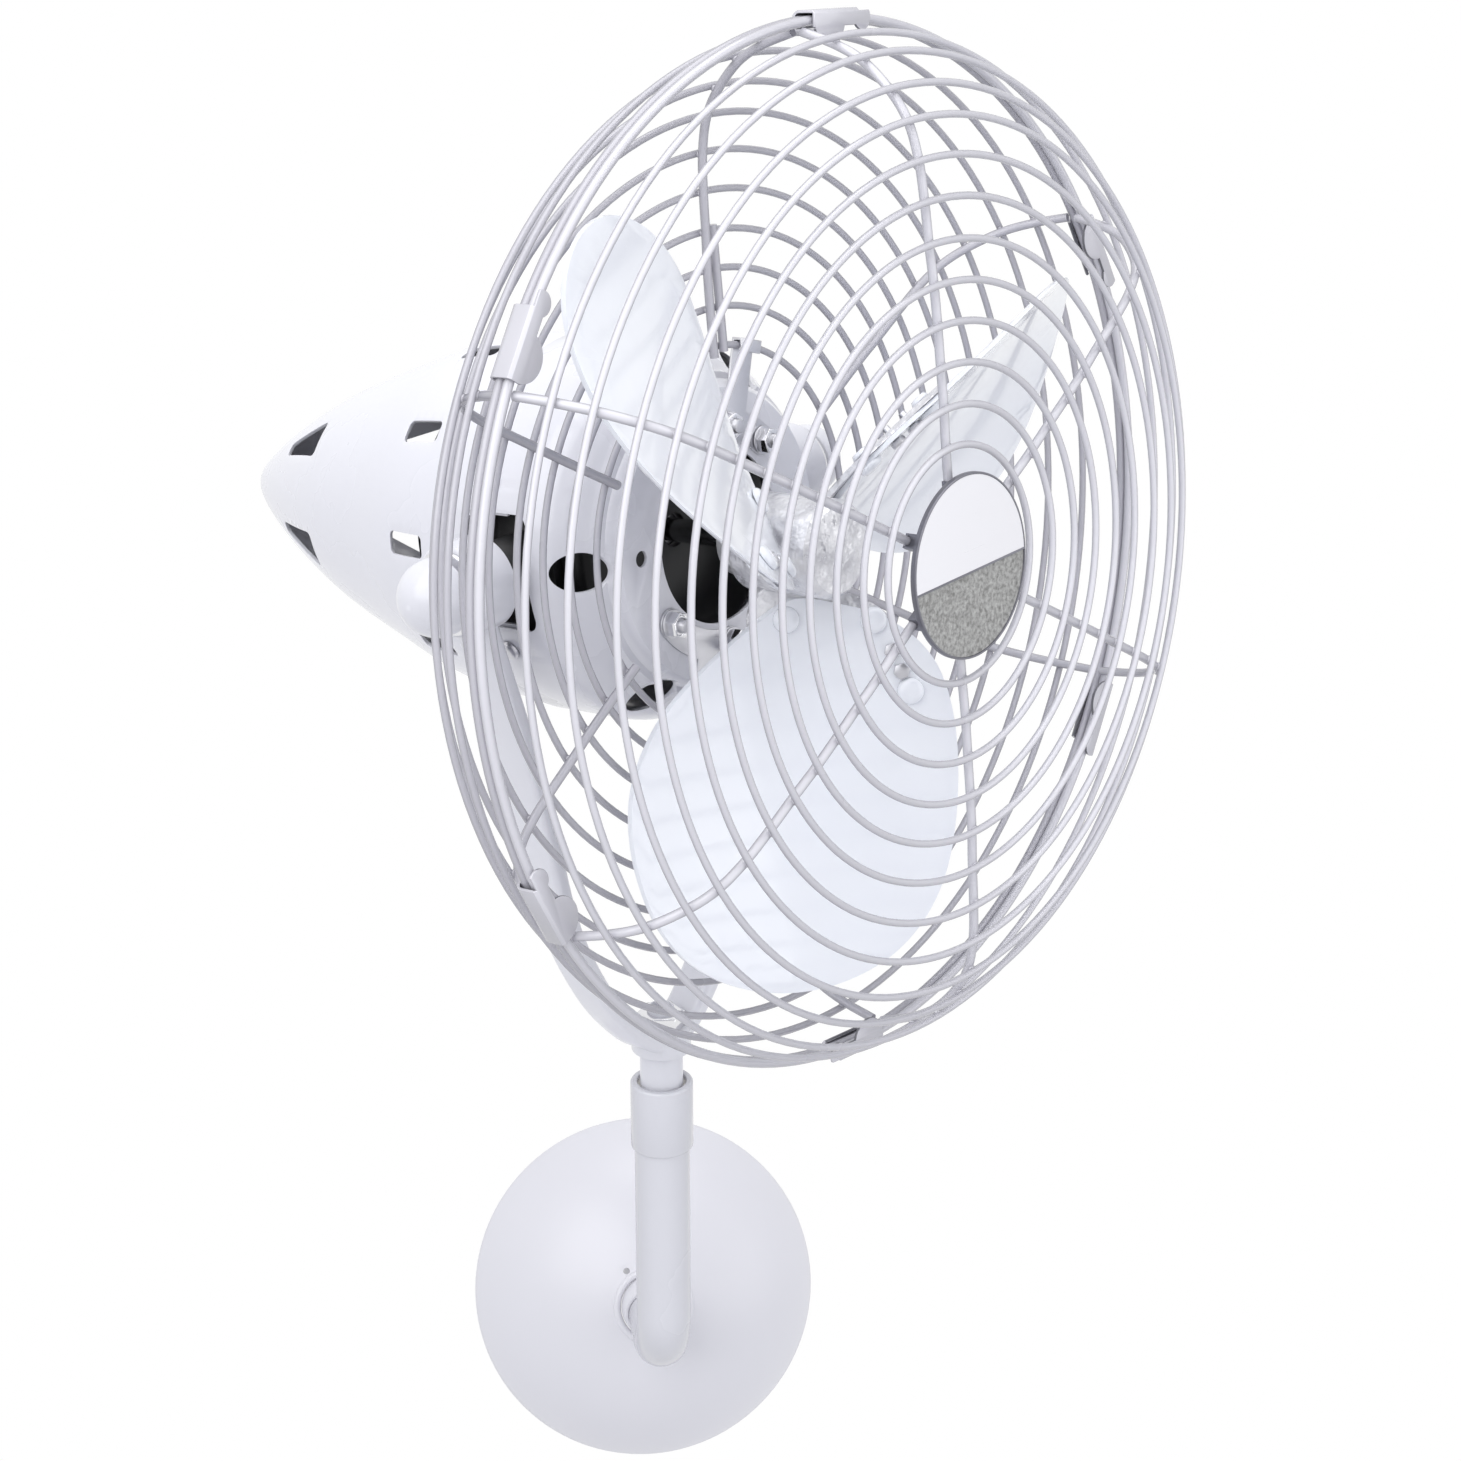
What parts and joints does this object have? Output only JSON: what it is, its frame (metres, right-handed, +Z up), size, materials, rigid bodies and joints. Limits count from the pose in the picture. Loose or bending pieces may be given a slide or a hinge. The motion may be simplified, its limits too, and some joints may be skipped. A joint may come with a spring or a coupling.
{
  "type": "wall fan",
  "caption": "Wall fan: caged three-blade head with a bullet motor housing, tilting in a U-yoke that swivels on a bent tube arm with a loose domed canopy.",
  "frame": {"origin": "centre of the arm tube's rear end face, on the tube's axis", "axes": "+Z up along the swivel axis, +Y back towards the wall along the arm, +X to the right seen from the front"},
  "size_m": [0.4055, 0.4519, 0.7414],
  "materials": {
    "paint_white": "gloss",
    "paint_arm": "gloss",
    "blade_paint": "gloss",
    "wire_paint": "satin",
    "chrome": "polished",
    "zinc_steel": "satin",
    "cast_hub": "satin",
    "motor_black": "satin",
    "lamination": "satin",
    "copper": "satin",
    "nylon": "satin",
    "black_ring": "matte",
    "emblem_metal": "brushed",
    "bearing_steel": "polished",
    "bronze": "satin"
  },
  "bodies": {
    "wall_arm": {"arm_tube": "paint_arm", "arm_nipple": "zinc_steel", "swivel_sleeve": "paint_arm", "upper_bush": "nylon", "lower_bush": "nylon"},
    "canopy_slider": {"canopy_bush": "black_ring"},
    "canopy_cover": {"canopy": "paint_white"},
    "yoke_frame": {"swivel_shaft": "zinc_steel", "thrust_washer": "bronze", "retaining_ring": "zinc_steel", "yoke": "paint_white", "yoke_nut": "chrome"},
    "head": {"trunnion_ring": "motor_black", "pivot_studs": "zinc_steel", "pivot_washers": "chrome", "pivot_caps": "paint_white", "motor_can": "motor_black", "motor_end_bell": "motor_black", "stator_core": "lamination", "stator_windings": "copper", "motor_bearings": "bearing_steel", "rear_shell": "paint_white", "front_shell": "paint_white", "housing_screws": "zinc_steel", "plate_bolts": "zinc_steel", "plate_spacers": "zinc_steel", "plate_washers": "zinc_steel", "plate_nuts": "chrome", "guard_brackets": "zinc_steel", "front_guard_face_rings": "wire_paint", "front_guard_side_rings": "wire_paint", "front_guard_rim": "wire_paint", "front_guard_spokes": "wire_paint", "rear_guard_face_rings": "wire_paint", "rear_guard_side_rings": "wire_paint", "rear_guard_rim": "wire_paint", "rear_guard_spokes": "wire_paint", "emblem": "emblem_metal"},
    "rotor": {"motor_shaft": "bearing_steel", "rotor_core": "lamination", "blade_hub": "cast_hub", "hub_set_screw": "zinc_steel", "blade_1": "blade_paint", "blade_2": "blade_paint", "blade_3": "blade_paint", "blade_irons": "cast_hub", "blade_rivets": "cast_hub", "blade_fixings": "zinc_steel"},
    "clip_1": {"guard_clip_1": "wire_paint"},
    "clip_2": {"guard_clip_2": "wire_paint"},
    "clip_3": {"guard_clip_3": "wire_paint"},
    "clip_4": {"guard_clip_4": "wire_paint"},
    "clip_5": {"guard_clip_5": "wire_paint"},
    "clip_6": {"guard_clip_6": "wire_paint"}
  },
  "joints": [
    {"name": "canopy_slide", "type": "slide", "parent": "wall_arm", "child": "canopy_slider", "axis": [0, 1, 0], "range_m": [0, 0.126]},
    {"name": "canopy_tilt", "type": "hinge", "parent": "canopy_slider", "child": "canopy_cover", "pos_m": [0, -0.1475, 0], "axis": [1, 0, 0], "range_deg": [0, 22]},
    {"name": "swivel", "type": "hinge", "parent": "wall_arm", "child": "yoke_frame", "pos_m": [0, -0.2, 0.14], "axis": [0, 0, 1], "range_deg": [-130, 45]},
    {"name": "head_tilt", "type": "hinge", "parent": "yoke_frame", "child": "head", "pos_m": [-0.00941, -0.19018, 0.4154], "axis": [-0.7218, -0.6921, 0], "range_deg": [-14, 35]},
    {"name": "blade_spin", "type": "hinge", "parent": "head", "child": "rotor", "pos_m": [0.06746, -0.27034, 0.42825], "axis": [0.6876, -0.717, 0.1149], "continuous": true},
    {"name": "clip_1_hinge", "type": "hinge", "parent": "head", "child": "clip_1", "pos_m": [0.19612, -0.13004, 0.51637], "axis": [-0.3781, -0.2184, 0.8996], "range_deg": [0, 70]},
    {"name": "clip_2_hinge", "type": "hinge", "parent": "head", "child": "clip_2", "pos_m": [0.06242, -0.23914, 0.63562], "axis": [-0.7259, -0.6825, 0.085], "range_deg": [0, 70]},
    {"name": "clip_3_hinge", "type": "hinge", "parent": "head", "child": "clip_3", "pos_m": [-0.06762, -0.37801, 0.54727], "axis": [-0.3478, -0.4641, -0.8146], "range_deg": [0, 70]},
    {"name": "clip_4_hinge", "type": "hinge", "parent": "head", "child": "clip_4", "pos_m": [-0.06396, -0.40777, 0.33967], "axis": [0.3781, 0.2184, -0.8996], "range_deg": [0, 70]},
    {"name": "clip_5_hinge", "type": "hinge", "parent": "head", "child": "clip_5", "pos_m": [0.06975, -0.29867, 0.22041], "axis": [0.7259, 0.6825, -0.085], "range_deg": [0, 70]},
    {"name": "clip_6_hinge", "type": "hinge", "parent": "head", "child": "clip_6", "pos_m": [0.19978, -0.15981, 0.30877], "axis": [0.3478, 0.4641, 0.8146], "range_deg": [0, 70]}
  ]
}
